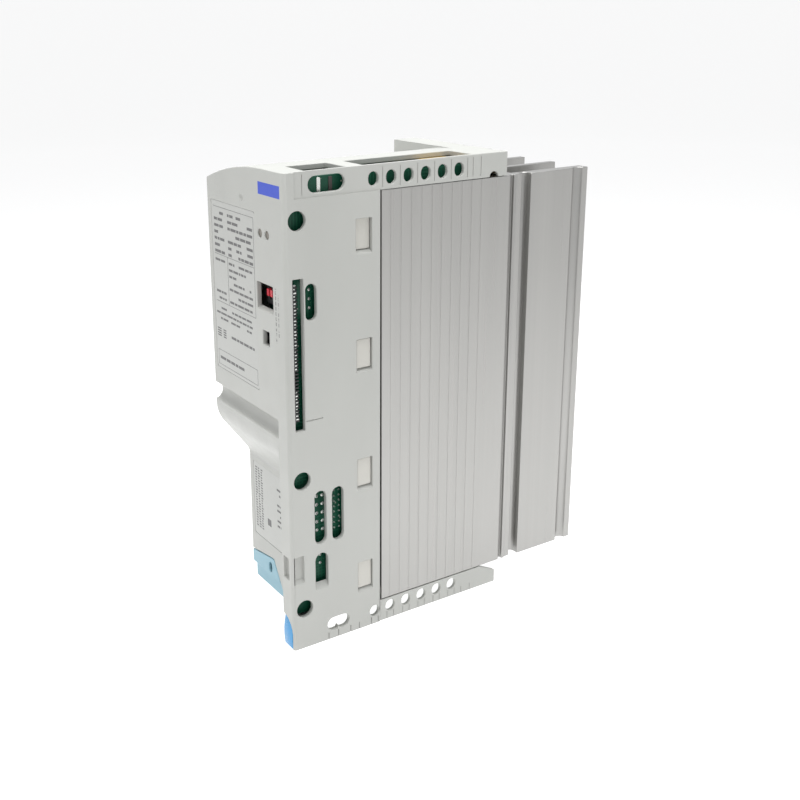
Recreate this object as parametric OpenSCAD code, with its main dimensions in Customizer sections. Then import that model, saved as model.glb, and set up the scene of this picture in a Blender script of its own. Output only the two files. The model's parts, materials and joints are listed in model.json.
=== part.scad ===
// Compact book-style motor drive: a moulded hood over a chassis frame, with an extruded heatsink
// behind it. +Z is up, the front face looks along -Y, and the origin is at the middle of the
// base, so the body stands on Z = 0. All sizes are in millimetres.

/* [Body] */
// Width across both side faces
body_w = 60; // [58:1:80]
// Depth from the front face to the rear ends of the cooling fins
body_d = 140; // [132:1:175]
// Height of the moulded body
body_h = 182; // [176:1:225]
// Thickness of the moulded walls
wall = 2; // [1.6:0.1:2.4]
// Depth of the full-height side walls
side_d = 39.5; // [38:0.5:42]
// Depth of the top strip and of the bottom skirts
strip_d = 98; // [94:0.5:100]
// Height of the top strip and of the bottom skirts
strip_h = 9.2; // [8.8:0.1:10]
// How far the top surface falls at the left side
arch_drop = 8; // [5:0.5:8]
// Width of the flat part of the top, from the right side
arch_flat = 15; // [12:1:20]
// Set-back of the strips behind the side faces
strip_in = 0.35; // [0.2:0.05:0.5]

/* [Front] */
// Height of the lower edge of the upper front panel
step_z = 91.5; // [84:0.5:100]
// Depth of the recessed lower front
face_d = 14.2; // [12:0.2:16]
// Width of the flush strip beside the recessed lower front
rib_w = 7.7; // [7:0.1:9]
// Radius of the rounded front corner
corner_r = 1.5; // [0.8:0.1:2]
// Height of the upper-front switch window above the base
window_z = 136.5; // [130:0.5:140]
// Width of the switch window
window_w = 12; // [10:0.5:14]
// Height of the switch window
window_h = 9.2; // [8:0.2:11]
// Distance of the window's centre from the right side
window_in = 15; // [14:0.5:17]

/* [Side] */
// Diameter of the round service holes
service_hole_d = 7; // [5:0.5:8]
// Depth of the service holes and the long slot from the front face
service_in = 5.3; // [5:0.1:6]
// Heights of the service holes
service_z = [16.6, 69, 165.3];
// Pitch of the terminal poles and the wall holes beside them
pole_pitch = 7.62; // [7:0.02:7.62]
// Number of wall holes in each strip
strip_holes = 6; // [4:1:6]
// Depth of the first wall hole
strip_hole_in = 36.9; // [36:0.1:38]
// Width of the wall holes
strip_hole_w = 4.4; // [3.6:0.1:5]
// Height of the wall holes
strip_hole_h = 5.2; // [4.6:0.1:5.6]
// Depth of the latch windows
latch_in = 32.6; // [32:0.1:33]
// Width of the latch windows
latch_w = 6.8; // [6:0.1:7]
// Height of the latch windows
latch_h = 11.6; // [8:0.2:12.4]
// Heights of the latch windows
latch_z = [23.1, 66.2, 113.2, 157.7];

/* [Heatsink] */
// Height of the extrusion
sink_h = 163; // [150:1:163]
// Thickness of the extrusion's side walls
sink_wall = 3.3; // [3:0.1:3.3]
// Thickness of the extrusion's base wall
sink_base = 6.5; // [5:0.5:8]
// Set-back of the extrusion behind the side faces
sink_in = 0.4; // [0.3:0.1:0.6]
// Gap between the moulded side walls and the extrusion
sink_gap = 0.9; // [0.5:0.1:1.2]
// Number of inner fins
inner_fins = 2; // [1:1:3]
// Thickness of the inner fins
fin_t = 3; // [2:0.5:4]

/* [Electronics] */
// Thickness of the circuit boards
board_t = 1.6; // [1:0.2:1.6]
// Clearance between a board and the wall beside it
board_gap = 0.4; // [0.2:0.1:0.5]
// Number of poles of the supply terminals
line_poles = 4; // [2:1:4]
// Number of poles of the motor terminals
motor_poles = 6; // [3:1:6]
// Height of the terminal blocks
block_h = 14; // [12:0.5:15]
// Width of the terminal blocks
block_w = 11; // [10:0.5:12]
// Diameter of a terminal screw's shank
screw_d = 3; // [2.5:0.1:3]
// Diameter of a terminal screw's head
screw_head_d = 4.4; // [4:0.1:4.6]
// Diameter of the smoothing capacitors
cap_d = 18; // [16:1:18]
// Length of the smoothing capacitors
cap_h = 36; // [25:1:38]

/* [Fits] */
// Clearance round a part that slides
slide_gap = 0.3; // [0.2:0.05:0.4]
// Radial clearance of a screw in its thread
thread_gap = 0.08; // [0.05:0.01:0.1]
// Clearance between parts that are fixed together in the same housing
seat_gap = 0.2; // [0.1:0.05:0.3]

/* [Hidden] */
$fn = 48;
eps = 0.01;
right = body_w / 2;
left = -right;
front = -body_d / 2;
rear = body_d / 2;
plastic = [0.78, 0.78, 0.76];
metal = [0.72, 0.72, 0.70];
pcb_green = [0.06, 0.32, 0.2];
// Inner faces of the hood
in_right = right - wall;
in_left = left + wall;
in_top = body_h - wall;
// Heatsink: height above the base, and its faces
sink_z = strip_h + 0.4;
sink_top = sink_z + sink_h;
sink_front = front + side_d + sink_gap;
sink_x = right - sink_in;
sink_in_x = sink_x - sink_wall;
base_y = front + strip_d;
// Main board: a plate in the YZ plane beside the right wall
board_x1 = sink_in_x - board_gap;
board_x0 = board_x1 - board_t;
board_y0 = front + wall + 0.7;
board_y1 = front + 83;
board_z0 = sink_z + 3;
board_z1 = in_top - 0.6;
// Top openings over the terminals
open_x0 = right - 15.5;
relay_open = [wall + 7.5, wall + 24.4];
supply_open = [33.4, 82];
first_pole = strip_hole_in;
relay_pole = relay_open[0] + 4.2;
// Terminal blocks hang beside the main board
block_x1 = board_x0;
block_x0 = block_x1 - block_w;
supply_z1 = sink_top - 0.5;
motor_z0 = board_z0;
screw_x = block_x1 - 3.4;
wire_x = block_x0 + 3;
screw_head_h = 2.2;
screw_len = 8;
head_depth = 3.4;
// Shoulder between the upper front and the recessed lower front
rib_x = right - rib_w;
rib_wall = 1.6;
shoulder_z = step_z - 8.5;
shoulder_r = 15;
shoulder_a = 37;
hollow_r = 6;
groove_r = 3.6;
groove_in = 3;
slope_run = face_d - (shoulder_r + hollow_r) * (1 - cos(shoulder_a));
hollow_z = shoulder_z - (shoulder_r + hollow_r) * sin(shoulder_a) - slope_run / tan(shoulder_a);
floor_z = strip_h - 1.6;
// Terminal cover in the recessed front
cover_w = 29;
cover_h = 16;
cover_cut = 10;
cover_t = 1.8;
cover_step = 7.3;
cover_lap = 1.5;
// Labels: thickness, and the left, right, lower and upper edges of each
label_t = 0.2;
plate_box = [left + 3, right - 21.5, 99, 166];
lower_box = [left + 3, right - 19, 22, 55];
// Indicator board behind the switch window
panel_y = front + wall + 6.2;
panel_x0 = right - 27;
panel_x1 = board_x0 - 1;
window_x = right - window_in;
switch_w = 9.6;
slider_pitch = 2.54;
slider_w = 1.5;
slider_h = 2.6;
slider_travel = 1.2;
sliders = 3;
// Power board across the back of the chamber
power_y = base_y - 14;
power_x0 = -sink_in_x + 1.5;
power_x1 = board_x0 - 1;
power_z0 = sink_z + 27;
power_z1 = power_z0 + 110;
pad_t = 0.4;
module_t = 8;
module_w = 32;
module_l = 50;
module_z = (power_z0 + power_z1) / 2;
cap_rows = [power_z0 + 12, power_z0 + 32];
cap_x = (power_x0 + power_x1) / 2;
// Cross bars and posts of the chassis
bar_z = [sink_z + 22, sink_z + 143];
post_x = board_x0 - 5;
post_d = 7;
post_screw_d = 4;

function at(depth) = front + depth;
function arc(cx, cy, r, a0, a1, n = 8) =
    [for (i = [0:n]) let (a = a0 + (a1 - a0) * i / n) [cx + r * cos(a), cy + r * sin(a)]];
function cover_edge(z) = left + cover_w - cover_cut * z / cover_h;
function arch_r() = (pow(body_w - arch_flat, 2) + pow(arch_drop, 2)) / (2 * arch_drop);
function arch_z(x, inset) =
    body_h - arch_r() + sqrt(pow(arch_r() - inset, 2) - pow(x - right + arch_flat, 2));

// A cuboid from its lowest to its highest corner
module block(p, q) {
    translate(p) cube([q[0] - p[0], q[1] - p[1], q[2] - p[2]]);
}

// Extrudes an outline in the YZ plane from x0 to x1
module along_x(x0, x1) {
    translate([x0, 0, 0]) rotate([90, 0, 90]) linear_extrude(x1 - x0) children();
}

// Extrudes an outline in the XZ plane from y0 to y1
module along_y(y0, y1) {
    translate([0, y1, 0]) rotate([90, 0, 0]) linear_extrude(y1 - y0) children();
}

// A slot with round ends in the YZ plane, w wide and h high, about (y, z)
module slot_x(x0, x1, y, z, w, h) {
    r = min(w, h) / 2;
    tilt = h > w ? 0 : -90;
    run = abs(h - w) / 2;
    along_x(x0, x1) translate([y, z]) rotate(tilt)
        polygon(concat(arc(0, run, r, 0, 180), arc(0, -run, r, 180, 360)));
}

// Outline of the body across its width: flat on the right, curved down to the left
module arch_outline(inset, z0) {
    n = 12;
    x1 = right - arch_flat;
    x0 = left + inset;
    polygon(concat([[x0, z0], [right - inset, z0], [right - inset, body_h - inset]],
        [for (i = [0:n]) let (x = x1 + (x0 - x1) * i / n) [x, arch_z(x, inset)]]));
}

// Side profile of the recessed part: panel, groove, rounded shoulder and lower face
module front_profile() {
    groove_y = at(groove_in - groove_r);
    groove_z = step_z - sqrt(pow(groove_r, 2) - pow(groove_r - groove_in, 2));
    groove_a = acos((groove_r - groove_in) / groove_r);
    polygon(concat([[at(side_d), body_h], [at(0), body_h]],
        arc(groove_y, groove_z, groove_r, groove_a, -groove_a, 10),
        arc(at(shoulder_r), shoulder_z, shoulder_r, 180, 180 + shoulder_a, 8),
        arc(at(face_d - hollow_r), hollow_z, hollow_r, shoulder_a, 0, 6),
        [[at(face_d), 0], [at(side_d), 0]]));
}

// Cavity behind that profile, one wall thickness in
module front_cavity_profile() {
    thick = groove_in + wall;
    slope = 1 / tan(shoulder_a);
    line_z = hollow_z + hollow_r * sin(shoulder_a) + wall * sin(shoulder_a);
    line_y = face_d - hollow_r + (hollow_r + wall) * cos(shoulder_a);
    polygon([[at(side_d) + eps, body_h - wall], [at(wall), body_h - wall],
        [at(wall), step_z + 3], [at(thick), step_z + 0.5],
        [at(thick), line_z + (line_y - thick) * slope],
        [at(line_y), line_z],
        [at(face_d + wall), line_z - (face_d + wall - line_y) * slope],
        [at(face_d + wall), floor_z + wall], [at(side_d) + eps, floor_z + wall]]);
}

// Holes and recesses of the right wall
module side_openings() {
    x0 = in_right - eps;
    x1 = right + eps;
    for (z = service_z)
        translate([x0, at(service_in), z]) rotate([0, 90, 0])
            cylinder(d = service_hole_d, h = x1 - x0);
    block([x0, at(3), 88.6], [x1, at(7), 145]);
    slot_x(x0, x1, at(10.3), 136, 4.6, 13.4);
    slot_x(x0, x1, at(12.8), 52.6, 5.1, 21.6);
    slot_x(x0, x1, at(20.4), 52.4, 5.1, 21.8);
    slot_x(x0, x1, at(13), 32.4, 5.6, 11);
    block([x0, at(10.2), 25.2], [x1, at(15.8), 32.4]);
    along_y(at(10.2), at(15.8))
        polygon([[x0, 25.3], [x1, 25.3], [x1, 23]]);
    block([right - 1.5, at(1.2), 29], [x1, at(5.3), 38.9]);
    along_y(at(1.2), at(5.3))
        polygon([[right - 1.5, 29.1], [x1, 29.1], [x1, 27.4]]);
    block([right - 0.25, at(7.4), 91.8], [x1, at(14.4), 92.3]);
}

// Four latch windows, the same in both side walls, with a sloped sill
module latch_windows() {
    for (z = latch_z) {
        block([in_right - eps, at(latch_in - latch_w / 2), z - latch_h / 2],
            [right + eps, at(latch_in + latch_w / 2), z + latch_h / 2]);
        along_y(at(latch_in - latch_w / 2), at(latch_in + latch_w / 2))
            polygon([[in_right, z - latch_h / 2 + eps], [right + eps, z - latch_h / 2 + eps],
                [right + eps, z - latch_h / 2 - 1.2]]);
    }
}

// Wall holes beside the terminals, in the top strip and in the bottom skirt
module strip_openings() {
    x0 = in_right - 1;
    x1 = right + eps;
    top_z = body_h - 5;
    low_z = 5.7;
    for (i = [0:strip_holes - 1]) {
        y = at(strip_hole_in + i * pole_pitch);
        slot_x(x0, x1, y, top_z, strip_hole_w, strip_hole_h);
        slot_x(x0, x1, y, low_z, strip_hole_w, strip_hole_h - 0.4);
        for (s = [-1, 1])
            block([right - strip_in - 0.2, y + s * 1.6 - 0.15, -eps],
                [x1, y + s * 1.6 + 0.15, low_z - 2.4]);
        block([right - strip_in - 0.2, y + pole_pitch / 2 - 0.15, body_h - strip_h + 1],
            [x1, y + pole_pitch / 2 + 0.15, body_h - 1]);
    }
    slot_x(x0, x1, at(17.5), top_z + 0.2, 15, 6);
    difference() {
        slot_x(x0, x1, at(20.1), low_z + 0.6, 10, 5.4);
        along_x(x0 - 1, x1 + 1)
            polygon([[at(18.9), low_z - 3], [at(21.3), low_z - 3], [at(20.1), low_z - 1]]);
    }
    for (y = [7.6, 81.4, 85.2])
        block([right - strip_in - 0.2, at(y) - 0.15, body_h - strip_h + 1],
            [x1, at(y) + 0.15, body_h - 1]);
    for (y = [15.6, 20, 25.6, 29.6, 80.2, 84.6])
        block([right - strip_in - 0.2, at(y) - 0.15, -eps], [x1, at(y) + 0.15, 3]);
}

module hood() {
    color(plastic) difference() {
        union() {
            intersection() {
                union() {
                    difference() {
                        along_x(left, rib_x + eps) front_profile();
                        intersection() {
                            along_x(in_left, rib_x + 1) front_cavity_profile();
                            along_y(front, at(side_d) + 1) arch_outline(wall, 0);
                        }
                    }
                    rib_shell();
                }
                along_y(front - 1, at(side_d)) arch_outline(0, 0);
            }
            top_shell();
            skirts();
        }
        hood_cuts();
    }
}

// The right-hand part of the hood: side wall and the flush rib beside the recess
module rib_shell() {
    difference() {
        along_z_corner();
        block([rib_x - eps, at(face_d + wall), floor_z + wall],
            [in_right, at(side_d) + eps, body_h - wall]);
        block([rib_x + rib_wall, at(wall), floor_z + wall],
            [in_right, at(face_d + wall) + eps, body_h - wall]);
        block([rib_x - eps, at(groove_in + wall), step_z + 0.5],
            [rib_x + 2, at(face_d + wall) + eps, body_h - wall]);
        block([rib_x - eps, at(wall), step_z + 3],
            [rib_x + 2, at(groove_in + wall) + eps, body_h - wall]);
    }
}

// Plan outline of the rib with its rounded front corner, over the full height
module along_z_corner() {
    linear_extrude(body_h)
        polygon(concat([[rib_x, at(side_d)], [rib_x, at(0)]],
            arc(right - corner_r, at(corner_r), corner_r, -90, 0, 6),
            [[right, at(side_d)]]));
}

// Top shell over the heatsink, closed at the rear by a flat transverse block
module top_shell() {
    block_y = at(87);
    z0 = body_h - strip_h;
    difference() {
        union() {
            along_y(at(side_d) - eps, block_y + eps) arch_outline(0, z0);
            block([left, block_y, z0], [right, at(strip_d), body_h]);
        }
        along_y(at(side_d) - 1, block_y + wall) arch_outline(wall, z0 - 1);
        block([in_left, block_y + wall - eps, z0 - 1],
            [in_right, at(strip_d) - wall, body_h - wall]);
    }
}

// Side skirts below the heatsink, with the floor between them
module skirts() {
    y0 = at(side_d) - eps;
    for (s = [1, -1])
        along_x(s > 0 ? in_right : left, s > 0 ? right : in_left)
            polygon([[y0, 0], [at(strip_d), 0], [at(strip_d), strip_h - 3.8],
                [at(strip_d - 8), strip_h], [y0, strip_h]]);
    block([in_left - eps, at(face_d), floor_z], [in_right + eps, at(86), floor_z + 1.6]);
}

module hood_cuts() {
    side_openings();
    latch_windows();
    mirror([1, 0, 0]) latch_windows();
    strip_openings();
    // Space under the floor and between the skirts
    block([in_left, at(face_d) + wall, -1], [in_right, at(strip_d) + 1, floor_z]);
    // Strip faces stand a little behind the side face
    block([right - strip_in, at(4.4), body_h - strip_h], [right + 1, at(strip_d) + 1, body_h + 1]);
    block([right - strip_in, at(side_d), -1], [right + 1, at(strip_d) + 1, strip_h + 1]);
    // Openings over the terminals
    block([open_x0, at(relay_open[0]), in_top - 1], [in_right, at(relay_open[1]), body_h + 1]);
    block([open_x0, at(supply_open[0]), in_top - 1], [in_right, at(supply_open[1]), body_h + 1]);
    // Opening under the motor terminals
    block([block_x0 - 1, at(supply_open[0]), floor_z - 1],
        [in_right - 2, at(supply_open[1]), floor_z + 3]);
    // Half-round notch under the rear of the top strip
    translate([in_right - 1, at(91.7), body_h - strip_h]) rotate([0, 90, 0])
        cylinder(d = 4.2, h = wall + 2);
    // Notches in the rear edge of the top
    for (x = [right - 7, right - 24])
        block([x - 2.5, at(strip_d) - 1, body_h - 1.2], [x + 2.5, at(strip_d) + 1, body_h + 1]);
    front_openings();
    cover_opening();
    vents();
}

// Windows and recesses of the front panel
module front_openings() {
    y0 = front - 1;
    y1 = at(wall) + 3.5;
    block([window_x - window_w / 2, y0, window_z - window_h / 2],
        [window_x + window_w / 2, y1, window_z + window_h / 2]);
    along_x(window_x - window_w / 2, window_x + window_w / 2)
        polygon([[front - eps, window_z - window_h / 2 - 1], [at(wall), window_z - window_h / 2],
            [at(wall), window_z], [front - eps, window_z]]);
    block([window_x - 2.5, y0, 118], [window_x + 2.5, y1, 123.6]);
    for (x = [-2.6, 2.6])
        translate([window_x + x, at(wall) + 1, 159]) rotate([90, 0, 0])
            cylinder(d = 3.2, h = wall + 2);
    translate([right - 31.3, front - 1.3, 170]) sphere(d = 4);
    block([rib_x + 1.3, y0, 29], [right - 2.45, at(1.5), 38]);
    block([plate_box[0], y0, plate_box[2]], [plate_box[1], front + label_t, plate_box[3]]);
    block([lower_box[0], at(face_d) - 1, lower_box[2]],
        [lower_box[1], at(face_d) + label_t, lower_box[3]]);
}

// Cut-out of the recessed front for the terminal cover, and the seat of the corner cap
module cover_opening() {
    along_y(at(face_d) - 1, at(face_d + wall) + eps) cover_outline(0);
    block([left - 1, at(face_d + wall) - eps, -1],
        [in_left + eps, at(face_d) + 2 * cover_t + slide_gap, cover_step + cover_lap + slide_gap]);
    block([in_left, at(face_d + wall) - eps, -1],
        [left + cover_w + cover_cut, at(face_d) + 16, floor_z + 3]);
    cap_body(seat_gap);
}

// Outline of the terminal cover, seen from the front, reduced all round by gap
module cover_outline(gap) {
    z0 = gap > 0 ? 0 : -1;
    z1 = cover_h - gap;
    x0 = gap > 0 ? left : left - 1;
    polygon([[x0, z0], [x0, z1 - 3], [left + 17.5, z1],
        [cover_edge(z1) - 1.2 * gap, z1], [cover_edge(z0) - 1.2 * gap, z0]]);
}

// Vent slots in the left wall and in the floor
module vents() {
    for (i = [0:6])
        slot_x(left - 1, in_left + 1, at(face_d + wall + 8), 38 + i * 8, 12, 2.6);
    for (i = [0:6])
        block([-20 + i * 5, at(58), floor_z - 1], [-17.6 + i * 5, at(80), floor_z + 3]);
}

// ---- Frame behind the hood ----

rail_x1 = in_right - seat_gap;
rail_x0 = board_x1 + board_gap;
rail_y0 = at(25.5);
rail_y1 = at(side_d - 0.3);
bar_y0 = at(28);
bar_y1 = at(36);
bar_h = 6;

module rail() {
    block([rail_x0, rail_y0, floor_z + wall + 0.4], [rail_x1, rail_y1, sink_top - 0.8]);
    for (i = [0:len(latch_z) - 1])
        block([rail_x1 - eps, at(latch_in - latch_w / 2) + slide_gap,
                latch_z[i] - latch_h / 2 + slide_gap],
            [right - (i == len(latch_z) - 1 ? 1.5 : 0.8), at(latch_in + latch_w / 2) - slide_gap,
                latch_z[i] + latch_h / 2 - slide_gap]);
}

// Chassis: two side rails with latch tongues, two cross bars and four posts
module chassis() {
    color([0.84, 0.83, 0.78]) difference() {
        union() {
            rail();
            mirror([1, 0, 0]) rail();
            for (z = bar_z) {
                block([-rail_x0 - eps, bar_y0, z - bar_h / 2],
                    [rail_x0 + eps, bar_y1, z + bar_h / 2]);
                for (x = [-post_x, post_x])
                    translate([x, base_y, z]) rotate([90, 0, 0])
                        cylinder(d = post_d, h = base_y - bar_y1 + 1);
            }
        }
        for (z = bar_z, x = [-post_x, post_x])
            translate([x, base_y + 1, z]) rotate([90, 0, 0])
                cylinder(d = post_screw_d + 0.4, h = base_y - bar_y0 + 2);
    }
}

// A cheese-head screw along +Y, head at y0, with a driving slot
module long_screw(x, y0, z, d, head_d, head_h, length) {
    translate([x, y0, z]) rotate([-90, 0, 0]) difference() {
        union() {
            translate([0, 0, -head_h]) cylinder(d = head_d, h = head_h);
            translate([0, 0, -eps]) cylinder(d = d, h = length);
        }
        translate([-head_d, -0.5, -head_h - 1]) cube([2 * head_d, 1, 2]);
    }
}

module chassis_screws() {
    color(metal) for (z = bar_z, x = [-post_x, post_x])
        long_screw(x, bar_y0, z, post_screw_d - 0.1, 7, 2.4, base_y - bar_y0 + 5);
}

// Heatsink: side walls, base wall and fins, with guide grooves in both sides
module heatsink() {
    color(metal) difference() {
        translate([0, 0, sink_z]) linear_extrude(sink_h) sink_outline();
        for (z = bar_z, x = [-post_x, post_x])
            translate([x, base_y + 5.2, z]) rotate([90, 0, 0]) cylinder(d = post_screw_d, h = 6);
        for (s = [-1, 1])
            translate([0, base_y + 5.2, module_z + s * (module_l / 2 + 4)]) rotate([90, 0, 0])
                cylinder(d = 3.1, h = 6);
    }
}

module sink_outline() {
    base_end = base_y + sink_base;
    outer_fin = sink_wall + 1.9;
    pitch = (2 * sink_x - fin_t) / (inner_fins + 1);
    difference() {
        union() {
            for (s = [0, 1]) mirror([s, 0, 0]) {
                translate([sink_in_x, sink_front]) square([sink_wall, rear - sink_front]);
                translate([sink_x - outer_fin, base_y]) square([outer_fin, rear - base_y]);
            }
            translate([-sink_x, base_y]) square([2 * sink_x, sink_base]);
            for (i = [1:inner_fins])
                translate([-sink_x + i * pitch, base_end - eps])
                    square([fin_t, rear - base_end + eps]);
        }
        for (s = [0, 1]) mirror([s, 0, 0]) sink_grooves();
    }
}

// Grooves along one side face: fine lines, a shadow line, a rail groove and a round one
module sink_grooves() {
    for (i = [0:9])
        translate([sink_x - 0.1, sink_front + 3.4 + i * 4.6]) square([1, 0.6]);
    translate([sink_x - 1.2, at(99.8)]) square([2, 1.9]);
    translate([sink_x - 0.6, at(102.9)]) square([2, 3.3]);
    translate([sink_x - 2, at(106.1)]) square([3, 4.2]);
    translate([sink_x - 2, at(108.2)]) circle(d = 4.2);
    translate([sink_x + 0.6, at(134.6)]) circle(r = 2.6);
}

// ---- Front pieces ----

module terminal_cover() {
    color([0.62, 0.75, 0.8]) difference() {
        union() {
            intersection() {
                along_y(at(face_d), at(face_d) + cover_t) cover_outline(slide_gap);
                block([left, at(0), cover_step], [right, at(side_d), body_h]);
            }
            intersection() {
                along_y(at(face_d) + cover_t - 0.2, at(face_d) + 2 * cover_t - 0.2)
                    cover_outline(slide_gap);
                block([left, at(0), 0], [right, at(side_d), cover_step + cover_lap]);
            }
        }
        along_y(at(face_d) - 1, at(face_d) + 5) translate([left + 15.6, 11])
            polygon(concat(arc(0, 0.9, 1.3, 0, 180), arc(0, -0.9, 1.3, 180, 360)));
    }
}

// Corner cap in the foot of the rib, with a crowned front
module corner_cap() {
    color([0.31, 0.59, 0.78]) intersection() {
        cap_body(0);
        translate([rib_x - 1, at(30), 5]) rotate([0, 90, 0])
            cylinder(r = 30, h = rib_w + 2, $fn = 256);
    }
}

module cap_body(gap) {
    x0 = rib_x - (gap > 0 ? 1 : 0);
    x1 = right - 1.2;
    y0 = front - (gap > 0 ? 1 : 0);
    z0 = gap > 0 ? -1 : 0;
    along_y(y0, at(wall - 0.4))
        polygon(concat([[x1 + gap, z0], [x0, z0], [x0, 13 + gap]],
            arc(x1 - 6.2, 6.8, 6.2 + gap, 90, 0, 6)));
}

// Rating plate: a thin label in a shallow recess of the upper front

module rating_plate() {
    color([0.82, 0.82, 0.8])
        block([plate_box[0], front, plate_box[2]], [plate_box[1], front + label_t, plate_box[3]]);
}

module lower_plate() {
    color([0.8, 0.8, 0.78])
        block([lower_box[0], at(face_d), lower_box[2]],
            [lower_box[1], at(face_d) + label_t, lower_box[3]]);
}

// ---- Boards and what they carry ----

module main_board() {
    arm_z = sink_z + 6;
    color(pcb_green) difference() {
        along_x(board_x0, board_x1)
            polygon([[board_y0, board_z0], [board_y1, board_z0], [board_y1, board_z1],
                [board_y0, board_z1]]);
        for (z = bar_z)
            block([board_x0 - 1, bar_y0 - 0.4, z - bar_h / 2 - 0.4],
                [board_x1 + 1, bar_y1 + 0.4, z + bar_h / 2 + 0.4]);
        block([board_x0 - 1, board_y1 - 12, board_z0 - 1], [board_x1 + 1, board_y1 + 1, arm_z]);
    }
}

// Solder joints on the right face of the main board, in rows behind the wall openings
module solder_joints() {
    color([0.8, 0.82, 0.8]) {
        for (i = [0:4], y = [13.4, 15.9]) joint_dot(y, 59.5 - i * 3.5, 1.5);
        for (i = [0:7], y = [21, 23.2]) joint_dot(y, 60 - i * 2.2, 0.9);
        for (i = [0:2]) joint_dot(11.9, 139.6 - i * 3.4, 1.3);
        for (i = [0:1]) joint_dot(14.6, 35 - i * 3.4, 1.3);
        for (i = [0:line_poles - 1])
            joint_dot(first_pole + i * pole_pitch, supply_z1 - 3, 1.8, board_gap - 0.1);
    }
}

module joint_dot(y, z, d, h = 0.6) {
    translate([board_x1, at(y), z]) rotate([0, 90, 0]) cylinder(d = d, h = h, $fn = 16);
}

// Edge connector behind the long slot: a bar with a comb of contacts
module edge_connector() {
    pins = 40;
    pitch = 1.27;
    z0 = 91;
    comb_x = in_right - seat_gap;
    comb_y = at(service_in - 0.8);
    color([0.16, 0.17, 0.17]) {
        block([board_x1, comb_y - 1.2, z0], [comb_x, comb_y, z0 + pins * pitch + 0.6]);
        for (i = [0:pins - 1])
            block([board_x1, comb_y - 0.1, z0 + 0.6 + i * pitch],
                [comb_x, comb_y + 1.4, z0 + 1.2 + i * pitch]);
    }
}

module indicator_board() {
    color(pcb_green) block([panel_x0, panel_y, 114], [panel_x1, panel_y + board_t, 162]);
}

function slider_x(i) = window_x + (i - 2) * slider_pitch;
slot_h = slider_h + slider_travel + 2 * slide_gap;

module switch_body() {
    color([0.2, 0.2, 0.2]) difference() {
        block([window_x - switch_w / 2, at(wall + 1.6), window_z - 4],
            [window_x + switch_w / 2, panel_y, window_z + 4]);
        for (i = [1:sliders])
            block([slider_x(i) - slider_w / 2 - slide_gap / 2, at(wall), window_z - slot_h / 2],
                [slider_x(i) + slider_w / 2 + slide_gap / 2, at(wall + 4), window_z + slot_h / 2]);
    }
}

module slider(i) {
    z1 = window_z + slot_h / 2 - slide_gap;
    color([0.78, 0.2, 0.24])
        block([slider_x(i) - slider_w / 2, at(wall + 0.6), z1 - slider_h],
            [slider_x(i) + slider_w / 2, at(wall + 3.8), z1]);
}

module service_socket() {
    color([0.1, 0.1, 0.1]) difference() {
        block([window_x - 2.3, at(wall + 0.5), 118.2], [window_x + 2.3, panel_y, 123.4]);
        block([window_x - 1.5, at(0), 119], [window_x + 1.5, at(wall + 4), 122.6]);
    }
}

module status_lamps() {
    color([0.75, 0.72, 0.65]) for (x = [-2.6, 2.6])
        translate([window_x + x, panel_y, 159]) rotate([90, 0, 0])
            cylinder(d = 2.9, h = panel_y - at(0.5));
}

// ---- Terminal blocks and their screws ----

// A row of poles with its face at z = 0, reaching down; each has a screw bore and a wire entry
module terminal_row(poles) {
    difference() {
        block([block_x0, -pole_pitch / 2, -block_h],
            [block_x1, (poles - 0.5) * pole_pitch, 0]);
        for (i = [0:poles - 1]) translate([0, i * pole_pitch, 0]) {
            translate([screw_x, 0, -head_depth]) cylinder(d = screw_head_d + 0.8, h = head_depth + 1);
            translate([screw_x, 0, -head_depth - screw_len - 0.5])
                cylinder(d = screw_d + 2 * thread_gap, h = screw_len + 1);
            block([wire_x - 1.8, -2.2, -9.5], [wire_x + 1.8, 2.2, 1]);
        }
    }
}

// A slotted clamp screw standing in a bore that opens upwards at z = 0
module clamp_screw() {
    color(metal) difference() {
        union() {
            translate([0, 0, -head_depth + 0.1]) cylinder(d = screw_head_d, h = screw_head_h);
            translate([0, 0, -head_depth - screw_len]) cylinder(d = screw_d, h = screw_len + 0.2);
        }
        translate([-screw_head_d, -0.4, -head_depth + screw_head_h - 0.9])
            cube([2 * screw_head_d, 0.8, 2]);
    }
}

module supply_terminals() {
    color([0.25, 0.42, 0.3]) translate([0, at(first_pole), supply_z1]) terminal_row(line_poles);
}

module supply_screw(i) {
    translate([screw_x, at(first_pole + (i - 1) * pole_pitch), supply_z1]) clamp_screw();
}

module relay_terminals() {
    color([0.25, 0.42, 0.3]) translate([0, at(relay_pole), supply_z1]) terminal_row(2);
}

module relay_screw(i) {
    translate([screw_x, at(relay_pole + (i - 1) * pole_pitch), supply_z1]) clamp_screw();
}

module motor_terminals() {
    color([0.25, 0.42, 0.3]) translate([0, at(first_pole), motor_z0])
        mirror([0, 0, 1]) terminal_row(motor_poles);
}

module motor_screw(i) {
    translate([screw_x, at(first_pole + (i - 1) * pole_pitch), motor_z0])
        mirror([0, 0, 1]) clamp_screw();
}

// Control terminals in the bay behind the terminal cover
module control_terminals() {
    x0 = -rail_x0 + seat_gap;
    x1 = left + cover_w + cover_cut - 1.5;
    y0 = at(face_d + 4.4);
    z1 = bar_z[0] - bar_h / 2;
    poles = 9;
    pitch = (x1 - x0) / poles;
    color([0.2, 0.45, 0.32]) difference() {
        union() {
            block([x0, y0, 2.4], [x1, y0 + 11, z1 - 1]);
            block([-12, bar_y0, z1 - 2], [0, y0 + 11, z1]);
        }
        for (i = [0:poles - 1])
            translate([x0 + (i + 0.5) * pitch, y0 + 8, 6]) rotate([90, 0, 0])
                cylinder(d = 2.2, h = 9);
    }
}

// ---- Power section ----

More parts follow.
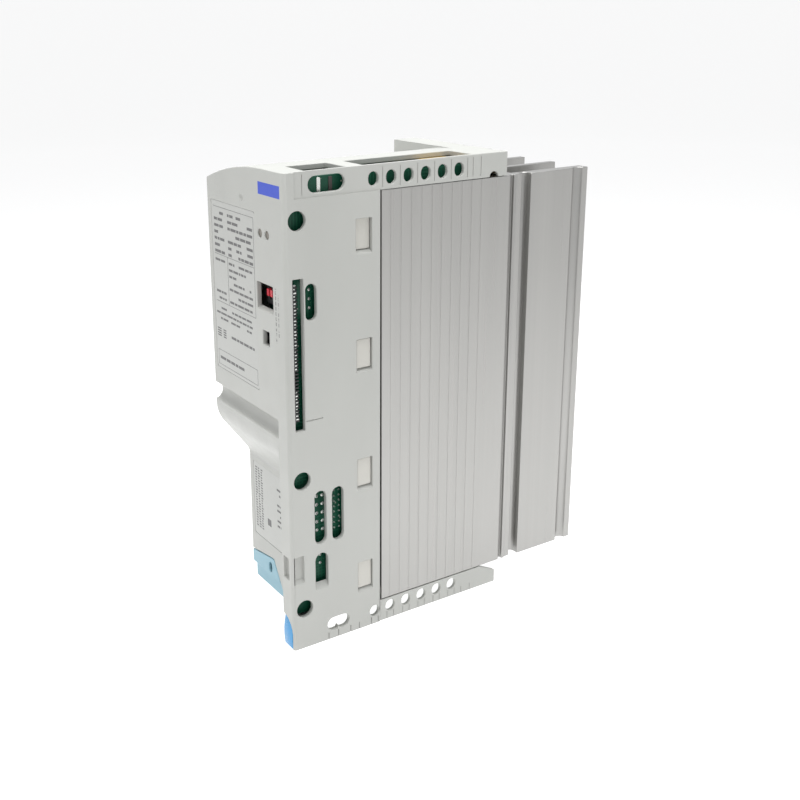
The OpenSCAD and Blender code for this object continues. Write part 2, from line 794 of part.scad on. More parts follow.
module filter_capacitor() {
    y0 = at(first_pole + (line_poles - 0.5) * pole_pitch) + 2;
    color([0.78, 0.62, 0.2])
        block([block_x1 - 9, y0, supply_z1 - 15], [block_x1, y0 + 14, body_h - 1.8]);
}

module power_board() {
    color(pcb_green) block([power_x0, power_y, power_z0], [power_x1, power_y + board_t, power_z1]);
}

// Power module on the base wall, with two rows of legs to the power board
module power_module() {
    y1 = base_y - pad_t;
    legs = 8;
    color([0.12, 0.12, 0.13]) difference() {
        union() {
            block([-module_w / 2, y1 - module_t, module_z - module_l / 2],
                [module_w / 2, y1, module_z + module_l / 2]);
            block([-6, y1 - 2.6, module_z - module_l / 2 - 7],
                [6, y1, module_z + module_l / 2 + 7]);
            for (i = [0:legs - 1], s = [-1, 1])
                block([s * 13 - 0.5, power_y + board_t, module_z - 21 + i * 6],
                    [s * 13 + 0.5, y1 - module_t + 1, module_z - 20.3 + i * 6]);
        }
        for (s = [-1, 1])
            translate([0, y1 + 1, module_z + s * (module_l / 2 + 4)]) rotate([90, 0, 0])
                cylinder(d = 3.4, h = 5);
    }
}

module module_screws() {
    color(metal) for (s = [-1, 1])
        long_screw(0, base_y - pad_t - 2.6, module_z + s * (module_l / 2 + 4), 3, 5.5, 2, 7.5);
}

module thermal_pad() {
    color([0.55, 0.6, 0.68])
        block([-module_w / 2, base_y - pad_t, module_z - module_l / 2],
            [module_w / 2, base_y, module_z + module_l / 2]);
}

module board_header() {
    color([0.15, 0.15, 0.15])
        block([board_x0 - 5.2, power_y - 8, power_z0 + 44], [board_x0, power_y, power_z0 + 64]);
}

// Smoothing capacitors in two columns and two rows on the power board
module capacitor(i) {
    x = cap_x + (i % 2 == 1 ? -1 : 1) * (cap_d / 2 + 1);
    z = cap_rows[i > 2 ? 1 : 0];
    color([0.15, 0.2, 0.32]) translate([x, power_y, z]) rotate([90, 0, 0]) difference() {
        cylinder(d = cap_d, h = cap_h);
        for (a = [0, 90]) rotate(a)
            translate([-cap_d / 4, -0.3, cap_h - 0.5]) cube([cap_d / 2, 0.6, 1]);
    }
}

// Ring choke, wound on a core with its axis along Y
module choke() {
    color([0.6, 0.36, 0.2]) translate([cap_x - 9, power_y - 7, power_z1 - 14]) rotate([90, 0, 0])
        rotate_extrude() translate([8.5, 0]) {
            square([7, 9], center = true);
            translate([0, 4.5]) circle(d = 5);
            translate([0, -4.5]) circle(d = 5);
        }
}

module transformer() {
    z0 = power_z0 + 52;
    color([0.3, 0.28, 0.25]) {
        block([cap_x - 20, power_y - 22, z0 + 3], [cap_x, power_y, z0 + 23]);
        block([cap_x - 22, power_y - 16, z0], [cap_x + 2, power_y - 6, z0 + 26]);
    }
}

module relay() {
    z0 = power_z0 + 68;
    color([0.2, 0.25, 0.3])
        block([cap_x + 5, power_y - 15, z0], [cap_x + 17, power_y, z0 + 28]);
}

hood();
chassis();
chassis_screws();
heatsink();
terminal_cover();
corner_cap();
rating_plate();
lower_plate();
main_board();
solder_joints();
edge_connector();
indicator_board();
switch_body();
for (i = [1:sliders])
    slider(i);
service_socket();
status_lamps();
supply_terminals();
for (i = [1:4])
    supply_screw(i);
relay_terminals();
for (i = [1:2])
    relay_screw(i);
motor_terminals();
for (i = [1:6])
    motor_screw(i);
control_terminals();
filter_capacitor();
power_board();
power_module();
module_screws();
thermal_pad();
board_header();
for (i = [1:4])
    capacitor(i);
choke();
transformer();
relay();
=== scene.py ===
# %% [markdown]
# # A slim motor drive, finished for a studio picture
# A motor drive is a moulded hood over a frame full of circuit boards, with an extruded heatsink
# behind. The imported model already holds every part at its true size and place. What is missing is
# what a hand or an eye would notice first: rounded edges, mould grain, drawn metal, solder,
# windings and print. This lesson adds those, one piece and one finish at a time.

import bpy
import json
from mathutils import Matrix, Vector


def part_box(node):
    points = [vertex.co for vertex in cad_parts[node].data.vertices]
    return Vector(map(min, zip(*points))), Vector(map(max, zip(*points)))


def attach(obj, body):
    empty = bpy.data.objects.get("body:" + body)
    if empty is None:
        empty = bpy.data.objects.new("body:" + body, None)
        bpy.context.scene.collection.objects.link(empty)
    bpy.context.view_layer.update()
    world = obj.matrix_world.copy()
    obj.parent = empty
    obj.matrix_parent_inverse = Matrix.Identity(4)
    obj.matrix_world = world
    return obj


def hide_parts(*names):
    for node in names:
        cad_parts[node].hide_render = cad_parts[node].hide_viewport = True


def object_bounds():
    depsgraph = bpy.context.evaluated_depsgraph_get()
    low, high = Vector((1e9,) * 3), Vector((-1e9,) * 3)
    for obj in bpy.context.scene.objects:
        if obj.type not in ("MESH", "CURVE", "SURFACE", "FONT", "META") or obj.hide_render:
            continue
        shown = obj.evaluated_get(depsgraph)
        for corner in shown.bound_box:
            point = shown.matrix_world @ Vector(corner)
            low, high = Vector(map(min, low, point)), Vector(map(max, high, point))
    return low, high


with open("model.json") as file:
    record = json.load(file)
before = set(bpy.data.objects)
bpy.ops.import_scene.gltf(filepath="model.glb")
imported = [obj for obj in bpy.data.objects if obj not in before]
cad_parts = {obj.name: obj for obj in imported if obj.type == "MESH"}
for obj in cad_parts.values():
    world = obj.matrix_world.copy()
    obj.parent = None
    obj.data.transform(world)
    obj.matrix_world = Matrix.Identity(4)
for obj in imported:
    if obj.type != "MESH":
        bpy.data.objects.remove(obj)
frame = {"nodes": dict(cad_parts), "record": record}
cad_box = [list(corner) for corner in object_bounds()]

import json
import math

import bmesh
import bpy
import numpy as np
from mathutils import Matrix, Vector

MM = 0.001
behaviour = frame["record"]["behaviour"]
body_of = {node: body for body, nodes in behaviour["bodies"].items() for node in nodes}
slot_of = {part["node"]: part["material_slot"] for part in frame["record"]["subparts"]}

# %% [markdown]
# ## The camera
# The drive is seen from its front right corner and from a little above, close enough that the
# near edge looks clearly taller than the far one. A camera object takes its place from a matrix
# whose columns are its right, up and backward directions, which is easier to reason about than
# three turning angles. The small lens shift moves the picture without tilting the camera.

# %% Camera
AZIMUTH, ELEVATION, ROLL = 59.25, 15.97, -0.92
EYE = Vector((0.3428, -0.2423, 0.2332))
LENS, SHIFT = 48.2, 0.1


def camera_axes(azimuth, elevation, roll):
    """Right, up and backward directions of a camera that stands at that azimuth and elevation."""
    a, e, r = (math.radians(x) for x in (azimuth, elevation, roll))
    back = Vector((math.cos(e) * math.sin(a), -math.cos(e) * math.cos(a), math.sin(e)))
    level = Vector((math.cos(a), math.sin(a), 0))
    rise = back.cross(level)
    return level * math.cos(r) + rise * math.sin(r), rise * math.cos(r) - level * math.sin(r), back


camera = bpy.data.objects.new("camera", bpy.data.cameras.new("camera"))
bpy.context.scene.collection.objects.link(camera)
turn = Matrix(camera_axes(AZIMUTH, ELEVATION, ROLL)).transposed().to_4x4()
camera.matrix_world = Matrix.Translation(EYE) @ turn
camera.data.lens = LENS
camera.data.shift_x, camera.data.shift_y = SHIFT, -SHIFT
camera.data.clip_start = 0.01
bpy.context.scene.camera = camera
print("camera stands", round(EYE.length, 3), "m from the middle of the base")

# %% [markdown]
# ## Surfaces from arrays
# Every new piece below is a surface worked out as whole arrays. A grid of points goes round a
# section (one way) and along a path (the other way), and four neighbours make each face. A single
# helper turns such grids into a mesh, so each piece only has to say where its points are.


# %% Mesh helpers
def grid_faces(rows, columns, close_rows=False, close_columns=True):
    """Corner numbers of the quads of a rows x columns grid of points, joined round where closed."""
    last_row, last_column = rows - (not close_rows), columns - (not close_columns)
    i, j = np.meshgrid(np.arange(last_row), np.arange(last_column), indexing="ij")
    i, j = i.ravel(), j.ravel()
    k, l = (i + 1) % rows, (j + 1) % columns
    return np.stack([i * columns + j, i * columns + l, k * columns + l, k * columns + j], axis=1)


def mesh_piece(name, points, faces, finish, body="drive", sharp=32):
    """An object at the origin from points (N, 3) and quads, in a named finish, smooth except at
    edges over sharp degrees."""
    mesh = bpy.data.meshes.new(name)
    points, faces = np.asarray(points, np.float32).reshape(-1, 3), np.asarray(faces, np.int32)
    mesh.vertices.add(len(points))
    mesh.vertices.foreach_set("co", points.ravel())
    mesh.loops.add(faces.size)
    mesh.loops.foreach_set("vertex_index", faces.ravel())
    mesh.polygons.add(len(faces))
    mesh.polygons.foreach_set("loop_start", np.arange(len(faces), dtype=np.int32) * faces.shape[1])
    mesh.polygons.foreach_set("use_smooth", np.ones(len(faces), bool))
    mesh.update(calc_edges=True)
    tidy = bmesh.new()
    tidy.from_mesh(mesh)
    bmesh.ops.remove_doubles(tidy, verts=tidy.verts, dist=1e-7)
    bmesh.ops.recalc_face_normals(tidy, faces=tidy.faces)
    tidy.to_mesh(mesh)
    tidy.free()
    mesh.set_sharp_from_angle(angle=math.radians(sharp))
    mesh.materials.append(finishes[finish])
    piece = bpy.data.objects.new(name, mesh)
    bpy.context.scene.collection.objects.link(piece)
    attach(piece, body)
    print(name, len(points), "points", len(faces), "faces")
    return piece


def turned(profile, centre, axis, steps=40):
    """Points of a profile of (radius, height) pairs turned about an axis: radius times a circle of
    the two directions square to the axis, plus height along it. Radius 0 closes the end."""
    profile, centre, axis = np.asarray(profile, float), np.asarray(centre, float), np.asarray(axis, float)
    side = np.cross(axis, [0.3, 0.5, 0.8])
    side /= np.linalg.norm(side)
    other = np.cross(axis, side)
    angle = np.arange(steps) * 2 * math.pi / steps
    circle = np.cos(angle)[:, None] * side + np.sin(angle)[:, None] * other
    return (centre + profile[:, None, 1:2] * axis + profile[:, None, 0:1] * circle).reshape(-1, 3)


def rounded_profile(points, radius, steps=4):
    """A polyline with each inner corner replaced by a quarter of a smooth arc, radius long each way:
    the points of the curve (1 - t)^2 a + 2 t (1 - t) b + t^2 c through the corner b."""
    points = np.asarray(points, float)
    t = np.linspace(0, 1, steps + 1)[:, None]
    out = [points[:1]]
    for a, b, c in zip(points[:-2], points[1:-1], points[2:]):
        near = b + (a - b) * min(0.5, radius / max(np.linalg.norm(a - b), 1e-9))
        far = b + (c - b) * min(0.5, radius / max(np.linalg.norm(c - b), 1e-9))
        out.append((1 - t) ** 2 * near + 2 * t * (1 - t) * b + t ** 2 * far)
    return np.concatenate(out + [points[-1:]])


BOX_FACES = np.array([[0, 1, 3, 2], [4, 6, 7, 5], [0, 4, 5, 1], [2, 3, 7, 6], [0, 2, 6, 4], [1, 5, 7, 3]])


def boxes(lows, highs):
    """Points and quads of many boxes at once, from their lowest and highest corners."""
    lows, highs = np.asarray(lows, float), np.asarray(highs, float)
    pick = np.array([[i, j, k] for i in (0, 1) for j in (0, 1) for k in (0, 1)])
    points = lows[:, None, :] * (1 - pick) + highs[:, None, :] * pick
    faces = np.arange(len(lows))[:, None, None] * 8 + BOX_FACES[None]
    return points.reshape(-1, 3), faces.reshape(-1, 4)


print("a 3 x 4 closed grid has", len(grid_faces(3, 4)), "faces")

# %% [markdown]
# ## The studio
# A product picture wants a pale floor with no horizon line. The floor here is one surface of
# revolution: flat in the middle, and curving up at its rim like a wide bowl, so it meets the eye
# the same way from every side. It is a light table, so it glows by itself, most of all in the
# middle: that lifts the undersides and makes the foot of the metal brighter than its top. The rest
# comes from a white sky, a soft panel overhead, which makes the top the brightest side, and a weak
# panel in front.


# %% Floor and lights
GLOW = (0.98, 0.62)


def floor_bowl(radius=1.6, rim=0.5):
    """Flat to radius, then a quarter ellipse that climbs by rim."""
    t = np.linspace(0, math.pi / 2, 14)
    profile = [(0, 0), (0.3, 0), (radius, 0)]
    profile += [(radius + rim * math.sin(a), rim * (1 - math.cos(a))) for a in t[1:]]
    points = turned(profile, (0, 0, 0), (0, 0, 1), steps=96)
    mesh = bpy.data.meshes.new("floor")
    mesh.from_pydata(points.tolist(), [], grid_faces(len(profile), 96).tolist())
    mesh.polygons.foreach_set("use_smooth", np.ones(len(mesh.polygons), bool))
    paper = bpy.data.materials.new("floor_paper")
    paper.use_nodes = True
    shader = paper.node_tree.nodes["Principled BSDF"]
    shader.inputs["Base Color"].default_value = (0.36, 0.36, 0.36, 1)
    shader.inputs["Roughness"].default_value = 0.8
    shader.inputs["Emission Color"].default_value = (1, 1, 1, 1)
    place = paper.node_tree.nodes.new("ShaderNodeTexCoord")
    distance = paper.node_tree.nodes.new("ShaderNodeVectorMath")
    distance.operation = "LENGTH"
    pool = paper.node_tree.nodes.new("ShaderNodeMapRange")
    for socket, value in zip(("From Min", "From Max", "To Min", "To Max"), (0.1, 0.7, *GLOW)):
        pool.inputs[socket].default_value = value
    paper.node_tree.links.new(place.outputs["Object"], distance.inputs[0])
    paper.node_tree.links.new(distance.outputs["Value"], pool.inputs["Value"])
    paper.node_tree.links.new(pool.outputs["Result"], shader.inputs["Emission Strength"])
    mesh.materials.append(paper)
    floor = bpy.data.objects.new("floor", mesh)
    bpy.context.scene.collection.objects.link(floor)
    return floor


def panel(name, place, aim, size, power):
    """A square area lamp at place that faces aim."""
    lamp = bpy.data.objects.new(name, bpy.data.lights.new(name, "AREA"))
    bpy.context.scene.collection.objects.link(lamp)
    lamp.location = place
    lamp.rotation_euler = (Vector(aim) - Vector(place)).to_track_quat("-Z", "Y").to_euler()
    lamp.data.size = size
    lamp.data.energy = power
    return lamp


floor = floor_bowl()
middle = (0, 0, 0.09)
panel("overhead_panel", (0.02, -0.03, 0.85), middle, 0.55, 8.5)
panel("front_panel", (-0.5, -1.1, 0.5), middle, 0.9, 0.8)
sky = bpy.data.worlds.new("sky")
sky.use_nodes = True
sky.node_tree.nodes["Background"].inputs["Color"].default_value = (0.98, 0.99, 1.0, 1)
sky.node_tree.nodes["Background"].inputs["Strength"].default_value = 0.72
bpy.context.scene.world = sky
bpy.context.scene.view_settings.view_transform = "Standard"

# %% [markdown]
# ## How the finishes are built
# Each finish is one Principled shader with its constants set on its own sockets, and a few
# texture nodes that read object coordinates, so a pattern stays put on a part that moves. A few
# small helpers carry the work: among them a stretched noise, a blend between two colours, a relief,
# and a rounded normal that softens the finest edges which the mesh leaves sharp.


# %% Shader helpers
class Finish:
    """One material: a Principled shader with constants, and helpers that add nodes to it."""

    def __init__(self, name, color, roughness, metallic=0.0, **constants):
        self.material = bpy.data.materials.new(name + "_finish")
        self.material.use_nodes = True
        self.tree = self.material.node_tree
        self.shader = self.tree.nodes["Principled BSDF"]
        self.color = color
        self.set_input("Base Color", (*color, 1))
        self.set_input("Roughness", roughness)
        self.set_input("Metallic", metallic)
        for socket, value in constants.items():
            self.set_input(socket.replace("_", " "), value)
        self.coordinates = self.tree.nodes.new("ShaderNodeTexCoord").outputs["Object"]

    def set_input(self, socket, value):
        self.shader.inputs[socket].default_value = value

    def node(self, kind, links=(), **settings):
        """A new node with its settings, its inputs linked or set from (socket, value) pairs."""
        made = self.tree.nodes.new(kind)
        for key, value in settings.items():
            setattr(made, key, value)
        for socket, value in links:
            if isinstance(value, bpy.types.NodeSocket):
                self.tree.links.new(value, made.inputs[socket])
            else:
                made.inputs[socket].default_value = value
        return made

    def scaled(self, scale=(1, 1, 1)):
        """Object coordinates times a scale, so a pattern can be stretched along an axis."""
        return self.node("ShaderNodeMapping", [("Vector", self.coordinates), ("Scale", scale)]).outputs[0]

    def noise(self, scale, detail=2.0, stretch=(1, 1, 1)):
        links = [("Vector", self.scaled(stretch)), ("Scale", scale), ("Detail", detail)]
        return self.node("ShaderNodeTexNoise", links).outputs["Fac"]

    def math(self, operation, a, b=0.0, clamp=False):
        return self.node("ShaderNodeMath", [(0, a), (1, b)], operation=operation, use_clamp=clamp).outputs[0]

    def spread(self, value, low, high, to_low=0.0, to_high=1.0):
        """Moves the range low to high onto to_low to to_high, cut off at both ends."""
        links = [("Value", value), ("From Min", low), ("From Max", high)]
        links += [("To Min", to_low), ("To Max", to_high)]
        return self.node("ShaderNodeMapRange", links).outputs["Result"]

    def between(self, value, low, high):
        """1 where the value lies from low to high, and 0 elsewhere."""
        links = [(0, value), (1, (low + high) / 2), (2, (high - low) / 2)]
        return self.node("ShaderNodeMath", links, operation="COMPARE").outputs[0]

    def blend(self, share, a, b):
        """Colour a where share is 0, and colour b where it is 1."""
        made = self.node("ShaderNodeMix", [("Factor", share)], data_type="RGBA")
        for socket, value in ((made.inputs[6], a), (made.inputs[7], b)):
            if isinstance(value, bpy.types.NodeSocket):
                self.tree.links.new(value, socket)
            else:
                socket.default_value = (*value, 1)
        return made.outputs[2]

    def shade(self, factor):
        """The finish's own colour times a factor."""
        return tuple(min(1.0, channel * factor) for channel in self.color)

    def relief(self, height, distance, normal=None):
        links = [("Height", height), ("Distance", distance), ("Strength", 1.0)]
        if normal is not None:
            links.append(("Normal", normal))
        return self.node("ShaderNodeBump", links).outputs["Normal"]

    def rounded_normal(self, radius):
        return self.node("ShaderNodeBevel", [("Radius", radius)], samples=4).outputs["Normal"]

    def worn_edges(self, rounded):
        """1 on an edge and 0 on a flat: how far the rounded normal leans from the true one."""
        true = self.node("ShaderNodeNewGeometry").outputs["Normal"]
        along = self.node("ShaderNodeVectorMath", [(0, rounded), (1, true)], operation="DOT_PRODUCT")
        return self.spread(along.outputs["Value"], 0.995, 0.8)

    def use(self, color=None, roughness=None, normal=None):
        for socket, value in (("Base Color", color), ("Roughness", roughness), ("Normal", normal)):
            if value is not None:
                self.tree.links.new(value, self.shader.inputs[socket])
        return self.material


finishes = {}
print("finish helpers ready")

# %% [markdown]
# ## Moulded plastic
# The hood, frame, covers and connectors are injection moulded. The real skin has a fine grain
# left by spark erosion of the mould, a slow change of shade where the melt flowed, and slightly
# polished edges where hands and neighbours rub. A painted texture could carry that, but noise at
# three sizes does it with no seams: the grain goes to the relief and the gloss, the slow one to
# the colour, and the edge mask lightens the corners.


# %% Moulded plastics
def moulded(name, color, roughness=0.42, grain=0.00001, wear=1.06, edge=0.0002, marks=None, **constants):
    finish = Finish(name, color, roughness, **constants)
    flow = finish.noise(30, 3, stretch=(1, 1, 0.4))
    grains = finish.noise(2400, 3)
    smudge = finish.noise(140, 4)
    base = finish.blend(finish.spread(flow, 0.3, 0.7), finish.shade(0.965), finish.shade(1.03))
    rounded = finish.rounded_normal(edge)
    base = finish.blend(finish.worn_edges(rounded), base, finish.shade(wear))
    if marks:
        base = marks(finish, base)
    touched = finish.spread(smudge, 0.35, 0.7, roughness - 0.05, roughness + 0.06)
    gloss = finish.math("ADD", finish.spread(grains, 0.3, 0.7, -0.04, 0.05), touched)
    return finish.use(base, gloss, finish.relief(grains, grain, rounded))


BLUE_BAR = (12.0, 27.6, 173.0, 177.4)
DASH_COLUMNS = ((22.6, 23.4, 121, 141), (24.6, 25.2, 123, 139))
DASH_PITCH = 1.9 * MM


def front_marks(finish, base):
    """Plain printed marks on the front face: a blue bar near the top and rows of grey dashes."""
    place = finish.node("ShaderNodeSeparateXYZ", [(0, finish.coordinates)])
    x, y, z = place.outputs
    front = finish.between(y, cad_box[0][1] - 0.2 * MM, cad_box[0][1] + 0.2 * MM)

    def area(x0, x1, z0, z1):
        across, upright = finish.between(x, x0 * MM, x1 * MM), finish.between(z, z0 * MM, z1 * MM)
        return finish.math("MULTIPLY", finish.math("MULTIPLY", across, upright), front)

    dash = finish.math("FRACT", finish.math("DIVIDE", z, DASH_PITCH))
    rough = finish.spread(finish.noise(900, 1, stretch=(1, 1, 0.6)), 0.38, 0.42)
    ink = finish.math("MULTIPLY", finish.math("LESS_THAN", dash, 0.72), rough)
    columns = finish.math("MAXIMUM", area(*DASH_COLUMNS[0]), area(*DASH_COLUMNS[1]))
    base = finish.blend(finish.math("MULTIPLY", columns, ink), base, (0.2, 0.2, 0.195))
    return finish.blend(area(*BLUE_BAR), base, (0.03, 0.07, 0.5))


finishes["housing_plastic"] = moulded("housing_plastic", (0.43, 0.435, 0.412), marks=front_marks)
finishes["frame_plastic"] = moulded("frame_plastic", (0.52, 0.51, 0.47))
finishes["cover_plastic"] = moulded("cover_plastic", (0.24, 0.42, 0.50), roughness=0.36)
finishes["cap_plastic"] = moulded("cap_plastic", (0.05, 0.28, 0.56), roughness=0.2, grain=0.000003)
finishes["contact_black"] = moulded("contact_black", (0.02, 0.021, 0.021), roughness=0.4, wear=1.5)
finishes["switch_black"] = moulded("switch_black", (0.016, 0.016, 0.017), roughness=0.38, wear=1.5)
finishes["slider_red"] = moulded("slider_red", (0.60, 0.03, 0.05), roughness=0.3, wear=1.2)
finishes["terminal_green"] = moulded("terminal_green", (0.035, 0.13, 0.07), roughness=0.4, wear=1.3)
finishes["module_black"] = moulded("module_black", (0.012, 0.012, 0.013), roughness=0.5, wear=1.5,
    grain=0.00002)
finishes["relay_case"] = moulded("relay_case", (0.02, 0.03, 0.05), roughness=0.25, wear=1.4)
finishes["pad_grey"] = moulded("pad_grey", (0.28, 0.32, 0.38), roughness=0.75, grain=0.00003)
finishes["film_cap_yellow"] = moulded("film_cap_yellow", (0.66, 0.40, 0.04), roughness=0.22, Coat_Weight=0.3)
finishes["core_dark"] = moulded("core_dark", (0.05, 0.045, 0.04), roughness=0.55)
print("moulded finishes", len(finishes))

# %% [markdown]
# ## Drawn aluminium
# A heatsink is pressed through a die, which leaves hair-fine lines along its whole length and
# soft bands of brighter and duller metal. Its ends are sawn, so they show short marks across.
# Noise squeezed along the height gives the lines, and the direction a face looks decides which of
# the two patterns it gets.


# %% Metals
def drawn_aluminium(name):
    finish = Finish(name, (0.40, 0.396, 0.383), 0.33, 0.9)
    lines = finish.noise(3200, 2, stretch=(1, 1, 0.003))
    bands = finish.noise(260, 3, stretch=(1, 1, 0.012))
    cloud = finish.noise(14, 2)
    saw = finish.noise(1500, 2, stretch=(0.05, 1, 1))
    direction = finish.node("ShaderNodeNewGeometry").outputs["Normal"]
    facing = finish.node("ShaderNodeSeparateXYZ", [(0, direction)])
    sawn = finish.spread(finish.math("ABSOLUTE", facing.outputs[2]), 0.8, 0.9)
    drawn = finish.math("MULTIPLY", lines, finish.math("SUBTRACT", 1.0, sawn))
    fine = finish.math("ADD", drawn, finish.math("MULTIPLY", saw, sawn))
    base = finish.blend(finish.spread(bands, 0.32, 0.68), finish.shade(0.965), finish.shade(1.025))
    base = finish.blend(finish.spread(cloud, 0.4, 0.75, 0.0, 0.5), base, finish.shade(0.95))
    rounded = finish.rounded_normal(0.0002)
    dull = finish.spread(bands, 0.3, 0.7, 0.3, 0.37)
    gloss = finish.math("ADD", finish.spread(fine, 0.3, 0.7, -0.05, 0.06), dull)
    return finish.use(base, gloss, finish.relief(fine, 0.000012, rounded))


def plated_steel(name, color, roughness, metallic=1.0):
    """Zinc or tin: bright metal with small crystals that shift its gloss."""
    finish = Finish(name, color, roughness, metallic)
    cells = finish.node("ShaderNodeTexVoronoi", [("Vector", finish.scaled()), ("Scale", 2200)])
    crystals = cells.outputs["Distance"]
    haze = finish.noise(500, 3)
    base = finish.blend(finish.spread(haze, 0.35, 0.7), finish.shade(0.9), finish.shade(1.06))
    gloss = finish.spread(crystals, 0.0, 0.7, roughness - 0.08, roughness + 0.12)
    return finish.use(base, gloss, finish.relief(haze, 0.00001, finish.rounded_normal(0.00015)))


finishes["sink_aluminium"] = drawn_aluminium("sink_aluminium")
finishes["screw_steel"] = plated_steel("screw_steel", (0.56, 0.56, 0.54), 0.3)
finishes["solder_tin"] = plated_steel("solder_tin", (0.74, 0.75, 0.72), 0.2, 0.9)
finishes["copper_wire"] = plated_steel("copper_wire", (0.26, 0.12, 0.065), 0.32)
print("metal finishes ready")

# %% [markdown]
# ## Circuit board
# A board is woven glass under a green lacquer, and the copper tracks show through it as paler
# green lines on a fixed pitch. Tracks could be drawn one by one, but a board this size has
# hundreds. Here a saw-tooth along each axis makes lines at the pitch, two patchy noises decide
# where lines run up and where they run across, and scattered dots stand for plated holes.


# %% Board lacquer and tracks
TRACK_PITCH = 1.27 * MM


def board_lacquer(name):
    finish = Finish(name, (0.003, 0.062, 0.033), 0.42, Specular_IOR_Level=0.3)
    place = finish.node("ShaderNodeSeparateXYZ", [(0, finish.coordinates)])
    across = finish.math("ADD", place.outputs[0], place.outputs[1])

    def lines(position, stretch):
        step = finish.math("FRACT", finish.math("DIVIDE", position, TRACK_PITCH))
        line = finish.math("LESS_THAN", step, 0.36)
        return finish.math("MULTIPLY", line, finish.spread(finish.noise(110, 0, stretch), 0.5, 0.53))

    tracks = finish.math("MAXIMUM", lines(across, (1, 1, 0.2)), lines(place.outputs[2], (0.2, 0.2, 1)))
    holes = finish.node("ShaderNodeTexVoronoi", [("Vector", finish.scaled()), ("Scale", 260)])
    dots = finish.spread(holes.outputs["Distance"], 0.1, 0.08)
    weave = finish.noise(1500, 1)
    base = finish.blend(finish.spread(weave, 0.3, 0.7), finish.shade(0.85), finish.shade(1.15))
    base = finish.blend(tracks, base, (0.010, 0.095, 0.052))
    base = finish.blend(dots, base, (0.3, 0.32, 0.27))
    height = finish.math("ADD", tracks, finish.math("MULTIPLY", weave, 0.15))
    return finish.use(base, finish.spread(weave, 0.3, 0.7, 0.36, 0.5), finish.relief(height, 0.00004))


finishes["board_green"] = board_lacquer("board_green")
print("track pitch", TRACK_PITCH)

# %% [markdown]
# ## Film, sleeve and light pipe
# Three thin finishes are left. The rating plate is a satin film with a faint orange-peel. The
# capacitors wear a shrink sleeve, which is glossy and ripples slightly. The two light pipes are
# smoky clear plastic, and a coat over a warm grey gives that with no see-through shader.


# %% Thin finishes
def satin_film(name, color, roughness=0.35, ripple=0.000004):
    finish = Finish(name, color, roughness, Coat_Weight=0.1, Coat_Roughness=0.3)
    peel = finish.noise(700, 2)
    fade = finish.noise(25, 2)
    base = finish.blend(finish.spread(fade, 0.3, 0.7), finish.shade(0.975), finish.shade(1.02))
    gloss = finish.spread(peel, 0.3, 0.7, roughness - 0.05, roughness + 0.07)
    return finish.use(base, gloss, finish.relief(peel, ripple))


finishes["label_film"] = satin_film("label_film", (0.43, 0.435, 0.415))
finishes["print_grey"] = satin_film("print_grey", (0.10, 0.10, 0.10), 0.4)
finishes["sleeve_blue"] = satin_film("sleeve_blue", (0.012, 0.02, 0.075), 0.2, 0.00003)
finishes["lamp_clear"] = satin_film("lamp_clear", (0.17, 0.155, 0.13), 0.12)
print("finishes", len(finishes))

# %% [markdown]
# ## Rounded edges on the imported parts
# No moulded or sawn edge is perfectly sharp, and the thin highlight on a rounded edge is what
# makes a part look real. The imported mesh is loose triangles, so a copy is merged first and its
# flat faces are joined. Then a Bevel modifier rounds the edges that can take it: an edge next to a
# narrow strip, such as a score line, is left alone, because a rounding wider than the strip would
# fold over itself. The width of a smooth group of faces is taken as twice its area over its rim.
# A side with many holes in it, the underside (-1) or the top (1), is cut into triangles first, or
# the rounding would close its holes.
# Shading is smooth only from strip to strip of a rounding or a curve, so wide faces stay flat.


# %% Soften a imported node
CREASE, FLAT, GENTLE, CORNER = (math.radians(angle) for angle in (30, 0.6, 8, 50))
NARROW, FACET, MERGE = 1.2 * MM, 4.0 * MM, 2e-6


def face_groups(shape, crease):
    """Groups of faces, walked across every edge that bends less than crease, and their widths."""
    group, widths = {}, []
    for start in shape.faces:
        if start in group:
            continue
        group[start] = len(widths)
        stack, area, rim = [start], 0.0, 0.0
        while stack:
            face = stack.pop()
            area += face.calc_area()
            for edge in face.edges:
                if edge.calc_face_angle(math.pi) >= crease:
                    rim += edge.calc_length()
                    continue
                for other in edge.link_faces:
                    if other not in group:
                        group[other] = len(widths)
                        stack.append(other)
        widths.append(2 * area / max(rim, 1e-9))
    return group, widths


def settle(piece, node):
    """Makes the modifiers' result the mesh itself, and holds every point inside the node's box,
    because a rounding may overshoot by a hair where a slope runs out to a point."""
    bpy.context.view_layer.update()
    graph = bpy.context.evaluated_depsgraph_get()
    final = piece.evaluated_get(graph)
    mesh = bpy.data.meshes.new_from_object(final, preserve_all_data_layers=True, depsgraph=graph)
    piece.modifiers.clear()
    piece.data = mesh
    points = np.empty(len(mesh.vertices) * 3, np.float32)
    mesh.vertices.foreach_get("co", points)
    low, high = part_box(node)
    points = np.clip(points.reshape(-1, 3), np.array(low, np.float32), np.array(high, np.float32))
    mesh.vertices.foreach_set("co", points.ravel())


def shade_facets(mesh):
    """Smooth shading only where it belongs: between the strips of a rounding, and between the
    facets of a gentle curve. A wide flat face keeps its own direction right up to its rim."""
    shape = bmesh.new()
    shape.from_mesh(mesh)
    group, widths = face_groups(shape, FLAT)
    for edge in shape.edges:
        bend, width = edge.calc_face_angle(math.pi), max(widths[group[f]] for f in edge.link_faces)
        edge.smooth = bend < FLAT or bend < GENTLE and width < FACET or bend < CORNER and width < NARROW
    for face in shape.faces:
        face.smooth = True
    shape.to_mesh(mesh)
    shape.free()


